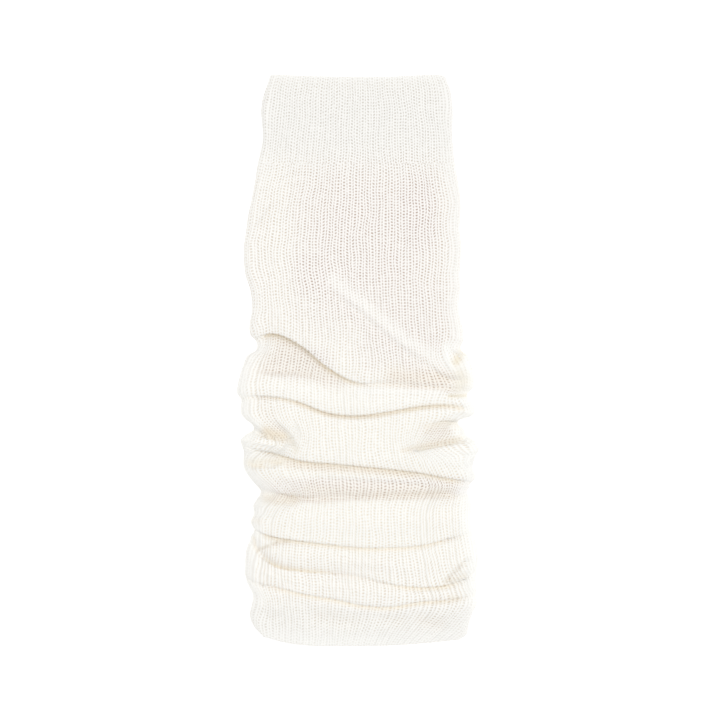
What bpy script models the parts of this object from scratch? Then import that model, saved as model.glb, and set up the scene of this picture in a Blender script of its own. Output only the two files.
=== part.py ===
"""Rib-knit leg warmer, laid flat and pushed down into folds.

The tube is knitted in one, with a turned, doubled welt at each end. It lies on
its back: X runs across it, +Y towards the top welt, and +Z up from the surface
it rests on. All sizes and tables are in millimetres, and MM makes them metres.
"""
from collections import namedtuple
import math

import bmesh
import bpy
import numpy as np

MM = 0.001
WELT_COLOUR = (0.88, 0.87, 0.83, 1.0)
LEG_COLOUR = (0.88, 0.85, 0.78, 1.0)

# ---------------------------------------------------------------- driving sizes
WALL = 1.6            # one layer of knit
WELT_LAYER = 1.3      # one of the two layers of a welt
WELT_SLIT = 0.6       # air between a welt's layers
WELT = 2.0 * WELT_LAYER + WELT_SLIT  # both layers
SEAM_GAP = 0.45       # between a welt and the leg, along the leg
SEAM_DROP = 0.2       # how far under the leg's end the lower welt starts
TOP_SEAM = 141.8      # where the top welt ends and the leg begins
FLAT_SHARE = 0.87     # place across where the flat front ends and the turned side begins
LIP = 4.4             # thickness of a front fold's lip, two layers and air
BACK_LIP = 3.6        # the same where the back is pressed flat
BACK_TUCK = 4.0       # height of a pressed pleat's hidden layer over the surface
ROUNDING = 1.4        # how far a roll falls from its crest to its shoulders
CROWNING = 0.12       # the most it falls, as a share of a narrow roll's width
SHOULDER = 0.4        # how far the cloth has sunk by the start of a lip's edge
EDGE = 1.2            # how far it has sunk at the edge
RISEN = 0.3           # share of a crease's depth left just past its lip

# Rings round the tube: points across the front, down each side and across the back.
FRONT_COLUMNS = 13
SIDE_COLUMNS = 3
BACK_COLUMNS = 6

# Nine even places across the front, from the left side (-1) to the right (+1).
PLACES = np.linspace(-1.0, 1.0, 9)

# ---------------------------------------------------------------- outline
# Seen from above: how far the left and right sides reach at each place along the
# leg, how high the front stands there, and how far its middle crowns over its sides.
Outline = namedtuple("Outline", "y left right height crown")
OUTLINE = (
    Outline(206.6, -64.8, 64.0, 7.6, 0.8),
    Outline(201.0, -66.0, 65.2, 7.6, 0.8),
    Outline(190.0, -69.0, 68.0, 7.4, 0.6),
    Outline(156.0, -69.0, 68.4, 7.2, 0.4),
    Outline(141.0, -72.4, 69.8, 7.2, 0.4),
    Outline(115.0, -77.0, 73.0, 7.4, 0.5),
    Outline(94.0, -80.6, 73.4, 8.0, 0.8),
    Outline(72.0, -82.0, 73.8, 9.5, 1.2),
    Outline(43.0, -76.6, 72.6, 12.5, 1.6),
    Outline(25.0, -77.8, 75.6, 14.5, 2.0),
    Outline(10.0, -79.2, 77.6, 16.0, 2.0),
    Outline(-8.0, -83.6, 84.0, 17.5, 2.0),
    Outline(-22.0, -86.4, 83.6, 18.5, 2.0),
    Outline(-36.0, -84.6, 84.2, 19.5, 2.0),
    Outline(-62.0, -84.0, 88.4, 19.5, 2.0),
    Outline(-83.0, -82.0, 85.0, 18.5, 2.0),
    Outline(-104.0, -78.4, 81.7, 17.5, 2.0),
    Outline(-116.0, -77.8, 81.8, 17.5, 2.0),
    Outline(-134.0, -79.8, 85.0, 17.5, 2.0),
    Outline(-155.0, -81.4, 86.4, 17.0, 2.0),
    Outline(-172.0, -77.4, 86.2, 18.2, 1.8),
    Outline(-182.0, -77.6, 82.6, 16.4, 1.5),
    Outline(-193.5, -74.4, 79.0, 11.6, 1.0),
    Outline(-206.6, -66.0, 75.0, 8.0, 0.8),
)

# ---------------------------------------------------------------- creases
# Each crease crosses the front. At the nine places it gives
#   line    where it runs, as y
#   lap     which cloth lies over it: 1 the cloth above, 0 neither, -1 the cloth below
#   deep    how far it sinks below the rolls beside it, 0 where it dies out
#   sink    how far the roll below it lies under the outline's height
# and once for the whole crease
#   tuck    how far the cloth runs back under a lap
#   spread  half the width of the open crease
#   pleat   1 where it goes on as a pressed pleat round the back, 0 where it doesn't
#   sag     how far the back's pleat runs below a straight line from side to side
#   fill    how many plain rings lie between it and the next crease
Crease = namedtuple("Crease", "name line lap deep sink tuck spread pleat sag fill")
CREASES = (
    Crease("shoulder_ridge",
           line=(86, 81, 72, 55, 38, 22.5, 7, -5.5, -16),
           lap=(0, 0, 0, 0, 0, 0.1, 0.3, 0.8, 0.3),
           deep=(0, 0, 0, 0.6, 1.4, 2.2, 3.6, 5.0, 1.5),
           sink=(0, 0, 0, 0.3, 0.8, 1.6, 2.8, 3.4, 1.0),
           tuck=4.0, spread=5.0, pleat=0, sag=0, fill=2),
    Crease("upper_lap",
           line=(12, 18.5, 9.5, -6, -16.5, -17.5, -19, -21.5, -26),
           lap=(0.6, 1, 1, 1, 0.6, -0.2, -0.4, -0.5, 0),
           deep=(6, 2.2, 1.6, 2.5, 4.0, 3.4, 3.0, 3.0, 4.5),
           sink=(0, 5.4, 6.4, 5.5, 1.5, 0, 0, 0, 0),
           tuck=6.0, spread=3.0, pleat=1, sag=4, fill=0),
    Crease("first_roll_top",
           line=(-3, -9.5, -10, -14, -22.5, -23.5, -25, -27, -31.5),
           lap=(0, -0.6, -0.8, -0.6, 0, 0, 0, 0, 0),
           deep=(1.0, 2.0, 1.2, 0.6, 0, 0, 0, 0, 0),
           sink=(0, 0, 0, 0, 0, 0, 0, 0, 0),
           tuck=3.0, spread=2.0, pleat=0, sag=2, fill=1),
    Crease("first_roll_bottom",
           line=(-28, -26.5, -30.5, -38.5, -40.5, -38, -34.5, -33, -37),
           lap=(0.2, 0.5, 0.8, 1, 1, 1, 0.8, 0.6, 0),
           deep=(2.0, 5, 5.2, 5.4, 5.4, 5.4, 5.4, 5, 0),
           sink=(0.5, 0.5, 0, 0, 0, 0, 0, 0, 0),
           tuck=6.5, spread=3.0, pleat=1, sag=-3, fill=0),
    Crease("right_lobe_bottom",
           line=(-38, -40.5, -45, -49, -51.5, -53, -51, -45.5, -43.5),
           lap=(0, 0, 0, 0, 0, 0, 0.5, 1, 0.8),
           deep=(0, 0, 0, 0, 0, 0, 2.0, 2.2, 5.0),
           sink=(0.5, 1.5, 0, 0, 0, 0, 2.2, 3.8, 5.0),
           tuck=4.0, spread=2.5, pleat=0, sag=0, fill=0),
    Crease("second_roll_pinch",
           line=(-50.5, -57, -61, -63, -65, -68, -65, -60.5, -57),
           lap=(-0.4, -1, -0.5, 0, 0, -0.3, -0.8, -1, -0.6),
           deep=(7.5, 6, 2.0, 0, 0, 0.8, 2.6, 2.4, 2.0),
           sink=(0, 0, 0, 0, 0, 0, 0, 0, 0),
           tuck=5.0, spread=3.0, pleat=1, sag=5, fill=0),
    Crease("second_roll_bottom",
           line=(-65, -68.5, -73, -75, -77, -79, -81.5, -85.5, -89),
           lap=(0.6, 0.9, 1, 1, 1, 1, 1, 0.9, 0.4),
           deep=(3.0, 4.5, 2.8, 2.6, 2.6, 2.6, 2.6, 3.2, 5),
           sink=(0.5, 1.0, 3.0, 3.4, 3.4, 3.4, 3.4, 2.4, 1.0),
           tuck=6.0, spread=3.0, pleat=1, sag=-4, fill=0),
    Crease("valley",
           line=(-94.5, -96, -97.5, -96.5, -96.5, -96.5, -96.5, -97, -99),
           lap=(0.8, 0.9, 0.3, -0.2, -0.5, -0.6, -0.6, -0.5, 0),
           deep=(7, 4.6, 3.6, 4.2, 4.4, 4.4, 4.2, 3.0, 0.8),
           sink=(0, 0, 0, 0, 0, 0, 0, 0, 0),
           tuck=4.0, spread=6.0, pleat=1, sag=3, fill=1),
    Crease("third_roll_bottom",
           line=(-121.5, -126.5, -130.5, -133.5, -135.5, -135.5, -134, -129, -124.5),
           lap=(0.6, 1, 1, 1, 1, 1, 1, 0.8, 0.3),
           deep=(4.0, 4.2, 4.2, 4.6, 5.0, 5.0, 5.2, 4, 1.5),
           sink=(0.6, 1.6, 1.2, 0.8, 0.4, 0.2, 0, 0, 0),
           tuck=6.5, spread=2.6, pleat=1, sag=-2, fill=1),
    Crease("fourth_roll_bottom",
           line=(-130, -147.5, -152, -153.5, -157, -162, -164, -161.5, -151),
           lap=(0, -0.8, -0.9, -0.6, 0.3, 0.9, 1, 0.9, 0.3),
           deep=(1.5, 4.6, 4.6, 4.6, 4.6, 5, 4.6, 4.2, 2.0),
           sink=(0, 0, 0, 0, 0, 0.4, 1.0, 1.0, 0.5),
           tuck=5.0, spread=2.6, pleat=1, sag=6, fill=0),
    Crease("fifth_roll_bottom",
           line=(-157, -163.5, -169, -172.5, -177, -178, -174.5, -173, -168),
           lap=(0.9, 0.9, 1, 1, 1, 1, 1, 0.9, 0.9),
           deep=(3.4, 4.8, 5.2, 5.2, 5.2, 5.2, 5.0, 4.8, 3.4),
           sink=(0, 0, 0, 0, 0, 0, 0, 0, 0),
           tuck=6.0, spread=2.6, pleat=1, sag=-3, fill=0),
)

# A crease is eight rings of knit, from the roll above it to the roll below. For each
# ring, y from the crease's line and how far it has sunk, in its two upper states; lapped
# under, it is the same rings mirrored.
#   over:  y is in mm plus a share of the tuck, and the ring is at one of the levels
#          that ring_levels works out
#   open:  y is a share of the spread, and the sink a share of the depth
Ring = namedtuple("Ring", "over_y over_tuck over_level open_y open_sink")
RINGS = (
    Ring(7.0, 0.0, "roll", 1.40, 0.03),
    Ring(3.0, 0.0, "shoulder", 0.95, 0.18),
    Ring(0.5, 0.0, "edge", 0.52, 0.60),
    Ring(0.5, 0.0, "lip", 0.17, 0.97),
    Ring(-0.5, 1.0, "lip", -0.17, 0.97),
    Ring(-0.5, 1.0, "hidden", -0.52, 0.60),
    Ring(-1.0, 0.0, "hidden", -0.95, 0.18),
    Ring(-4.2, 0.0, "risen", -1.40, 0.03),
)
COARSE_RINGS = (1, 2, 3, 4, 5, 6, 7)  # the rings of a crease that goes on round the back
MINOR_RINGS = (1, 3, 4, 6)            # the rings of one that doesn't
FIRST_LAP = 0.35      # the lap at which an opened crease has closed and starts to tuck
LEAST_STEP = 1.0      # least distance along the leg between two creases' rings
PANEL_AIR = 0.4       # least air between the inside of the front and of the back
BACK_FLAT = 0.72      # share of the back's half width where its pleats are pressed fully

# Where the leg has no crease, rings across it at these places.
LEG_TOP_RINGS = (TOP_SEAM - SEAM_GAP, 114.0)
TOP_FILL = 2          # plain rings between those and the first crease
WELT_SHARES = (0.0, 0.3, 0.65)  # rings up the top welt, as shares from its seam to its edge
TURN_RINGS = 4        # rings round a welt's turned edge
HEM_SHARES = (0.3, 0.65)  # rings down the bottom welt, between the lowest fold and its edge
SEAM_SHARE = 0.35     # where the leg ends, along the lowest hidden layer from its inner end
# The top welt's edge waves a little, and the bottom one's corners are round.
TOP_EDGE = (201.8, 205.6, 206.2, 204.2, 202.7, 202.8, 204.4, 206.6, 202.2)
BOTTOM_EDGE = (-193.0, -204.0, -206.4, -206.6, -206.4, -206.2, -205.0, -202.6, -197.0)


def smooth_curve(places, knots, values):
    """A smooth curve through values at the rising knots, read at places."""
    knots = np.asarray(knots, float)
    values = np.asarray(values, float)
    slopes = np.gradient(values, knots)
    places = np.clip(places, knots[0], knots[-1])
    span = np.clip(np.searchsorted(knots, places, side="right") - 1, 0, len(knots) - 2)
    width = knots[span + 1] - knots[span]
    share = (places - knots[span]) / width
    rest = 1.0 - share
    return (values[span] * rest * rest * (1.0 + 2.0 * share)
            + values[span + 1] * share * share * (3.0 - 2.0 * share)
            + slopes[span] * width * share * rest * rest
            - slopes[span + 1] * width * share * share * rest)


def across(values, place):
    """A table's nine values, read at any place across the front."""
    return smooth_curve(place, PLACES, values)


def outline_at(y, column):
    """One column of the outline at each y."""
    rows = OUTLINE[::-1]
    return smooth_curve(y, [row.y for row in rows], [getattr(row, column) for row in rows])


def ring_section(front=FRONT_COLUMNS, side=SIDE_COLUMNS, back=BACK_COLUMNS):
    """One ring's points: place across (-1 to 1), share of the height (-1 to 1)."""
    turn = [math.pi * (0.5 - (i + 1) / (side + 1)) for i in range(side)]
    points = [(FLAT_SHARE * x, 1.0) for x in np.linspace(-1.0, 1.0, front)]
    points += [(FLAT_SHARE + (1.0 - FLAT_SHARE) * math.cos(a), math.sin(a)) for a in turn]
    points += [(FLAT_SHARE * x, -1.0) for x in np.linspace(1.0, -1.0, back)]
    points += [(-FLAT_SHARE - (1.0 - FLAT_SHARE) * math.cos(a), -math.sin(a)) for a in turn]
    return np.array(points)


def ring_levels(ring, above, below, deep, lip):
    """A ring's sink where the crease is lapped over, and where it is open."""
    bottom = np.maximum(above, below) + deep
    steps = {
        "roll": above,
        "shoulder": above + SHOULDER,
        "edge": above + EDGE,
        "lip": above + lip,
        "hidden": bottom,
        "risen": below + RISEN * (bottom - below),
    }
    over = np.minimum(steps[ring.over_level], bottom)
    beside = above if ring.open_y > 0.0 else below
    opened = beside + ring.open_sink * (bottom - beside)
    return over, opened


def crease_ring(index, crease, above, below, lap, deep, lip):
    """y from the crease's line, and sink, of one of its rings, at each column."""
    ring, mirrored = RINGS[index], RINGS[-1 - index]
    bottom = np.maximum(above, below) + deep
    room = bottom - np.where(lap > 0.0, above, below)
    lap = lap * np.clip(room / (lip + PANEL_AIR), 0.0, 1.0) ** 2
    tuck = crease.tuck * np.clip((np.abs(lap) - FIRST_LAP) / (1.0 - FIRST_LAP), 0.0, 1.0)
    over_share, under_share = np.clip(lap / FIRST_LAP, 0.0, 1.0), np.clip(-lap / FIRST_LAP, 0.0, 1.0)
    open_share = 1.0 - over_share - under_share
    over_sink, open_sink = ring_levels(ring, above, below, deep, lip)
    under_sink = ring_levels(mirrored, below, above, deep, lip)[0]
    over_y = ring.over_y + ring.over_tuck * tuck
    under_y = -mirrored.over_y - mirrored.over_tuck * tuck
    y = over_y * over_share + under_y * under_share + ring.open_y * crease.spread * open_share
    sink = over_sink * over_share + under_sink * under_share + open_sink * open_share
    return y, sink


def crease_rings(crease, before, section):
    """The crease's rings as y and sink at each of the section's points."""
    place, share = section[:, 0], section[:, 1]
    on_front = share >= 0.0
    side_index = np.where(place < 0.0, 0, -1)
    near_side = np.clip((np.abs(place) - BACK_FLAT) / (1.0 - BACK_FLAT), 0.0, 1.0)
    near_side = near_side * near_side * (3.0 - 2.0 * near_side)
    side_lap, side_deep = np.array(crease.lap)[side_index], np.array(crease.deep)[side_index]

    straight = crease.line[0] + (crease.line[-1] - crease.line[0]) * (place + 1.0) / 2.0
    line = np.where(on_front, across(crease.line, place), straight - crease.sag * (1.0 - place ** 2))
    lap = np.where(on_front, across(crease.lap, place),
                   near_side * side_lap + (1.0 - near_side) * crease.pleat)
    held = np.minimum(side_deep / BACK_TUCK, 1.0)
    pressed = BACK_TUCK * (near_side * held + (1.0 - near_side) * crease.pleat)
    deep = np.where(on_front, np.maximum(across(crease.deep, place), 0.0), pressed)
    above = np.where(on_front, np.maximum(across(before, place), 0.0), 0.0)
    below = np.where(on_front, np.maximum(across(crease.sink, place), 0.0), 0.0)
    lip = np.where(on_front, LIP, BACK_LIP)
    rings = []
    for index in range(len(RINGS)):
        y, sink = crease_ring(index, crease, above, below, lap, deep, lip)
        rings.append([line + y, sink])
    return rings


def fill_rings(upper, lower, count, level, on_front):
    """Plain rings between two rings, crowned where the roll between them is wide."""
    rings = []
    gap = upper[0] - lower[0]
    crown = np.where(on_front, np.minimum(ROUNDING, CROWNING * gap), 0.0)
    for i in range(count):
        share = (i + 1) / (count + 1)
        swell = 4.0 * share * (1.0 - share) * crown
        rings.append([upper[0] - share * gap, level - swell])
    return rings


def step_apart(upper, lower):
    """Where two creases crowd each other, their nearest rings share the room evenly."""
    count = min(2, len(upper), len(lower))
    for i in range(count):
        above, below = upper[-1 - i], lower[i]
        middle = (above[0] + below[0]) / 2.0
        above[0] = np.maximum(above[0], middle + LEAST_STEP * (i + 0.5))
        below[0] = np.minimum(below[0], middle - LEAST_STEP * (i + 0.5))


def leg_rings(section, coarse):
    """Every ring of the leg, top to bottom, as y and sink at each point of the section."""
    place = section[:, 0]
    on_front = section[:, 1] >= 0.0
    flat = np.zeros(len(place))
    rings = [[flat + y, flat] for y in LEG_TOP_RINGS]
    before, fill = np.zeros(len(PLACES)), TOP_FILL
    for crease in CREASES:
        group = crease_rings(crease, before, section)
        kept = COARSE_RINGS if crease.pleat else MINOR_RINGS
        kept = kept if coarse else range(len(RINGS))
        group = [group[i] for i in kept]
        step_apart(rings, group)
        level = np.where(on_front, np.maximum(across(before, place), 0.0), 0.0)
        rings += fill_rings(rings[-1], group[0], fill, level, on_front)
        rings += group
        before, fill = np.array(crease.sink, float), crease.fill
    return rings


# The left and right sides, as the front sees them and then as the back does.
SIDES = np.array([(-1.0, 0.0), (1.0, 0.0), (-1.0, -1e-9), (1.0, -1e-9)])


def outline_edge(section, edge):
    """A welt's edge, as y at each point of the section."""
    return across(edge, section[:, 0])


def welt_turn(edge, sink, side):
    """Rings of a welt's turned edge, outer layer first. side is +1 at the top, -1 below."""
    radius = WELT_LAYER + WELT_SLIT / 2.0
    angles = [math.pi * i / (TURN_RINGS - 1) for i in range(TURN_RINGS)]
    return [(edge - side * radius * (1.0 - math.sin(a)), sink, radius * (1.0 - math.cos(a)))
            for a in angles]


def top_welt(section):
    """The top welt's rings: up the inner layer from the seam, over, and down the outer one."""
    flat = np.zeros(len(section))
    edge = outline_edge(section, TOP_EDGE)
    turn = welt_turn(edge, flat, 1.0)
    layers = [TOP_SEAM + share * (edge - TOP_SEAM) for share in WELT_SHARES]
    inner = [(y, flat, WELT) for y in layers]
    outer = [(y, flat, 0.0) for y in layers]
    return inner + turn[::-1] + outer[::-1]


def leg(section):
    """The leg's rings, from the top welt's seam to the layer hidden under the lowest fold."""
    rings = leg_rings(section, True)
    seam = between(rings[-3], rings[-2], SEAM_SHARE)
    return [(y, sink, 0.0) for y, sink in rings[:-2] + [seam]]


def bottom_welt(section):
    """The bottom welt's rings: down the outer layer, over, and up the inner one."""
    rings = leg_rings(section, True)
    start = between(rings[-3], rings[-2], SEAM_SHARE)
    start = [start[0] - SEAM_GAP, start[1] + SEAM_DROP]
    edge = outline_edge(section, BOTTOM_EDGE)
    turn = welt_turn(edge, np.zeros(len(section)), -1.0)
    last = [turn[0][0], turn[0][1]]
    hem = [between(rings[-1], last, share) for share in HEM_SHARES]
    on_front = section[:, 1] >= 0.0
    outer = [start] + rings[-2:] + [[y, np.where(on_front, sink, 0.0)] for y, sink in hem]
    layers = [(y, sink, 0.0) for y, sink in outer]
    inner = [(y, sink, WELT) for y, sink in outer]
    return layers + turn + inner[::-1]


def between(first, second, share):
    """A ring part of the way from one to the next, as y and sink."""
    return [a + share * (b - a) for a, b in zip(first, second)]


def placed(section, rings_of, thickness):
    """A piece's rings in space: the outline at their y, drawn in by sink and inset.

    The sides turn in half circles, however high the cloth stands there.
    """
    place, share = section[:, 0], section[:, 1]
    points = []
    for (y, sink, inset), (side_y, side_sink, _) in zip(rings_of(section), rings_of(SIDES)):
        left = outline_at(side_y[0], "left") + side_sink[0] + inset
        right = outline_at(side_y[1], "right") - side_sink[1] - inset
        top = outline_at(y, "height") - outline_at(y, "crown") * place ** 2
        pressed = np.where(share < 0.0, sink, 0.0)
        least = pressed.max() + 2.0 * thickness + PANEL_AIR
        front = np.maximum(top - sink, least) - inset
        side_top = outline_at(side_y[:2], "height") - outline_at(side_y[:2], "crown")
        side_front = np.maximum(side_top - side_sink[:2], least) - inset
        side_middle = (side_front + side_sink[2:] + inset) / 2.0
        side_radius = (side_front - side_sink[2:] - inset) / 2.0
        middle = np.where(place < 0.0, side_middle[0], side_middle[1])
        turned = (np.clip(np.abs(place), FLAT_SHARE, 1.0) - FLAT_SHARE) / (1.0 - FLAT_SHARE)
        flat = np.clip(place / FLAT_SHARE, -1.0, 1.0)
        inner_left, inner_right = left + side_radius[0], right - side_radius[1]
        x = (inner_left + inner_right) / 2.0 + flat * (inner_right - inner_left) / 2.0
        x = x + turned * np.where(place < 0.0, -side_radius[0], side_radius[1])
        z = np.where(share >= 0.0,
                     middle + (front - middle) * share,
                     middle + (pressed + inset - middle) * -share)
        points.append(np.column_stack([x, y, z]))
    return np.array(points)


# ---------------------------------------------------------------- Blender objects
def knit_material(name, colour):
    """A soft, matt knit."""
    material = bpy.data.materials.new(name)
    material.use_nodes = True
    shader = material.node_tree.nodes["Principled BSDF"]
    shader.inputs["Base Color"].default_value = colour
    shader.inputs["Roughness"].default_value = 0.9
    shader.inputs["Metallic"].default_value = 0.0
    return material


def knit_tube(collection, name, points, thickness, material):
    """A tube lofted through its rings, with the wall grown inwards from its right side."""
    rings, columns = points.shape[:2]
    mesh = bpy.data.meshes.new(name)
    shape = bmesh.new()
    rows = [[shape.verts.new(point) for point in ring * MM] for ring in points]
    for upper, lower in zip(rows, rows[1:]):
        for i in range(columns):
            j = (i + 1) % columns
            shape.faces.new((upper[i], lower[i], lower[j], upper[j]))
    shape.to_mesh(mesh)
    shape.free()
    mesh.shade_smooth()
    mesh.materials.append(material)
    tube = bpy.data.objects.new(name, mesh)
    collection.objects.link(tube)
    wall = tube.modifiers.new("wall", "SOLIDIFY")
    wall.thickness = thickness * MM
    wall.offset = -1.0
    return tube


def main():
    for old in list(bpy.data.objects):
        bpy.data.objects.remove(old)
    collection = bpy.data.collections.new("leg_warmer")
    bpy.context.scene.collection.children.link(collection)
    section = ring_section()
    pieces = (
        ("top_welt", top_welt, WELT_LAYER, WELT, WELT_COLOUR),
        ("leg_tube", leg, WALL, WALL, LEG_COLOUR),
        ("bottom_welt", bottom_welt, WELT_LAYER, WELT, WELT_COLOUR),
    )
    for name, rings_of, layer, whole, colour in pieces:
        points = placed(section, rings_of, whole)
        knit_tube(collection, name, points, layer, knit_material(name + "_knit", colour))


main()
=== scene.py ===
"""Looks of the rib-knit leg warmer, laid flat and pushed down into folds.

Each piece of knit is a smooth sheet, lofted through rings as its CAD solid is. Its wales
are laid along the sheet, the rib is raised on them, and the stitches are in the material.
X runs across the leg warmer, +Y towards the top welt and +Z up from the surface it lies
on. All tables are in millimetres, and MM makes them metres.
"""
from collections import namedtuple
import math

import bpy
import numpy as np
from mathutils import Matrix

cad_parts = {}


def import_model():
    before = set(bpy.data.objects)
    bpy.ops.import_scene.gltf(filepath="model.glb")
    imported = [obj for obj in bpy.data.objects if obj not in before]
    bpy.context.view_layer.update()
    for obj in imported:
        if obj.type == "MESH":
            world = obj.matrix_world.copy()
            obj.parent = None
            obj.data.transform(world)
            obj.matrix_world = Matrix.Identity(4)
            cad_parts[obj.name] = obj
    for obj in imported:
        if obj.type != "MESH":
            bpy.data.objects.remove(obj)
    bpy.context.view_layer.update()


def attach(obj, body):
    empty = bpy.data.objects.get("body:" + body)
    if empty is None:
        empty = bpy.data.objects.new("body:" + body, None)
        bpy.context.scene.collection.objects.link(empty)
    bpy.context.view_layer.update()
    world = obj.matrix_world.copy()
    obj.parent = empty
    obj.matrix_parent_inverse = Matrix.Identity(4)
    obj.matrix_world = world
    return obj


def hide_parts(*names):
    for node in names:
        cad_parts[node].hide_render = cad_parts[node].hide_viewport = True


MM = 0.001

# ================================================================ sizes
WALL = 1.2  # one layer of knit
WELT_LAYER = 1.3  # one of the two layers of a welt
WELT = 3.2  # both of them, with the air between
TOP_SEAM = 141.8  # where the top welt ends and the leg begins
FLAT_SHARE = 0.87  # place across where the flat front ends and the turned side begins
LIP = 2.8  # thickness of a front fold's lip, two layers and air
BACK_LIP = 3.6  # the same where the back is pressed flat
BACK_TUCK = 4.0  # height of a pressed pleat's hidden layer over the surface
ROUNDING = 2.0  # how far a roll falls from its crest to its shoulders
CROWNING = 0.15  # the most it falls, as a share of a narrow roll's width
SHOULDER = 0.6  # how far the cloth has sunk by the start of a lip's edge
EDGE = 1.5  # how far it has sunk at the edge
SIDE_SHARE = 0.6  # share of a crease's depth by which it draws the sides in
RISEN = 0.24  # share of a crease's depth left just past its lip
FIRST_LAP = 0.35  # the lap at which an opened crease has closed and starts to tuck
# the share by which a crease shuts its cloth in also gives that cloth painted shade
LAP_SHUT = (0.3, 0.9)  # laps between which a crease comes to shut its cloth in
DEPTH_SHUT = (0.2, 1.8)  # depths between which it does
DEPTH_HELD = (0.2, 1.2)  # depths between which a crease comes to hold its rings in place
DEPTH_ROUND = (0.5, 3.0)  # depths between which the cloth from one to the next rounds up
LEAST_STEP = 1.0  # least distance along the leg between two creases' rings
SETTLING = 120  # rounds of spreading the rings where no crease holds them
PANEL_AIR = 0.4  # least air between the inside of the front and of the back
BACK_FLAT = 0.72  # share of the back's half width where its pleats are pressed fully

WALES = 72  # round the tube
WALE_WIDTH = 4.3  # of one wale in the unstretched knit, about
COURSE = 2.2  # from one course to the next
RIB_DEPTH = 0.27  # from a wale's crest to the bottom of the purl column beside it
RIB_FLANK = 0.26  # share of a wale over which each of its flanks rises
GROOVE = 0.30  # depth of the groove between its two legs, as a share of the rib's
GROOVE_HALF = 0.14  # half the groove's width, as a share of the wale
SIDE_RELIEF = 0.1  # share of the rib left at the sides, where the cloth is stretched round
RELIEF_INSET = (1.5, 17.0)  # how far in from the sides the rib comes up to its full depth
INNER_SKIP = 3  # the plain inside keeps one row and column of points in so many
FRONT_POINTS = 7  # points across each wale in front
BACK_POINTS = 4  # the same behind
OVERLAP_WALES = 5  # wales past each side that are as fine as the front
ROW_STEP = 1.15  # from one row of points to the next, along the knit
LEAST_KNOT = 0.3  # keeps rings that nearly touch apart in the smooth surface
LEAST_HEIGHT = 4.5  # the least height to which a small fold may sink the front
WALE_EASE = 60  # rows over which a wale's way down the cloth is smoothed
BACK_DRAWN = (0.3, 0.95)  # place across from and to which the pulls fade in on the back
CALM = 14  # how far along the leg the outline is smoothed for the middle's wales
SIDE_HOLD = 13  # how closely the notches in the sides stay near the sides

# ================================================================ the form
# Nine even places across the front, from the left side (-1) to the right (+1).
PLACES = np.linspace(-1.0, 1.0, 9)

# Seen from above: how far the left and right sides reach at each place along the leg,
# how high the front stands there, and how far its middle crowns over its sides, which is
# 2 mm where the row doesn't say.
Outline = namedtuple("Outline", "y left right height crown", defaults=(2.0,))
OUTLINE = [Outline(*row) for row in (
    (206.6, -63.4, 62, 7.6, 0.8),
    (201, -64.9, 65, 7.6, 0.8),
    (195, -67, 67.2, 7.5, 0.7),
    (188, -69, 68.2, 7.4, 0.6),
    (156, -69.3, 68.6, 7.2, 0.4),
    (141, -72.6, 70.3, 7.2, 0.4),
    (129, -74.4, 72.3, 7.2, 0.4),
    (115, -77, 74.3, 7.4, 0.5),
    (104, -79.5, 74.2, 7.7, 0.6),
    (94, -80.8, 73.6, 8, 0.8),
    (82, -82.4, 74.8, 8.8, 1),
    (72, -82.4, 74.4, 9.5, 1.2),
    (62, -81.4, 73.6, 10.6, 1.3),
    (52, -78.3, 74.2, 11.7, 1.5),
    (43, -76.7, 73, 12.7, 1.6),
    (34, -76.7, 73.2, 13.6, 1.8),
    (25, -78.4, 75.2, 14.5),
    (18, -77.6, 76.6, 15.2),
    (14, -75.2, 76.2, 15.6),
    (10, -72.6, 74.2, 16),
    (6.5, -74.5, 74.6, 16.3),
    (4, -79.2, 79, 16.5),
    (0, -81.6, 81.4, 16.8),
    (-8, -84.4, 83.9, 17.5),
    (-15, -86.2, 84.6, 18),
    (-22, -87.4, 82.6, 18.5),
    (-26, -86.6, 78.8, 18.8),
    (-30, -84.8, 82.4, 19.1),
    (-36, -84.8, 84, 19.5),
    (-40, -84, 82.6, 19.5),
    (-43, -81, 76, 19.5),
    (-46, -77, 74, 19.5),
    (-50, -76.2, 78.6, 19.5),
    (-53.5, -80.8, 79.5, 19.5),
    (-57, -84.6, 85, 19.5),
    (-61, -84.6, 88.2, 19.5),
    (-66, -82.8, 87, 19.3),
    (-72, -83, 82, 19),
    (-78, -82.4, 82.4, 18.8),
    (-84, -79, 85.2, 18.5),
    (-90, -74.2, 82.4, 18.2),
    (-95, -71, 79.4, 17.9),
    (-100, -73, 81.6, 17.6),
    (-106, -75.8, 82.3, 17.5),
    (-110, -74.6, 82, 17.5),
    (-116, -77.2, 81.7, 17.5),
    (-123, -76, 82.9, 17.5),
    (-130, -78.8, 84.6, 17.5),
    (-138, -80.8, 86.5, 17.4),
    (-150, -81.3, 86.4, 17.1),
    (-157, -81.6, 85.4, 17),
    (-163, -78.8, 85.8, 17.4, 1.9),
    (-169, -75.9, 86.6, 18, 1.8),
    (-176, -76.6, 85.7, 17.6, 1.7),
    (-182, -78, 83, 16.4, 1.5),
    (-188, -77.2, 80.9, 14, 1.3),
    (-194, -73.8, 79.5, 11.6, 1),
    (-199, -69.8, 78, 9.9, 0.9),
    (-202, -67, 74, 9, 0.8),
    (-206.6, -62, 62, 8, 0.8),
)]

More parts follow.
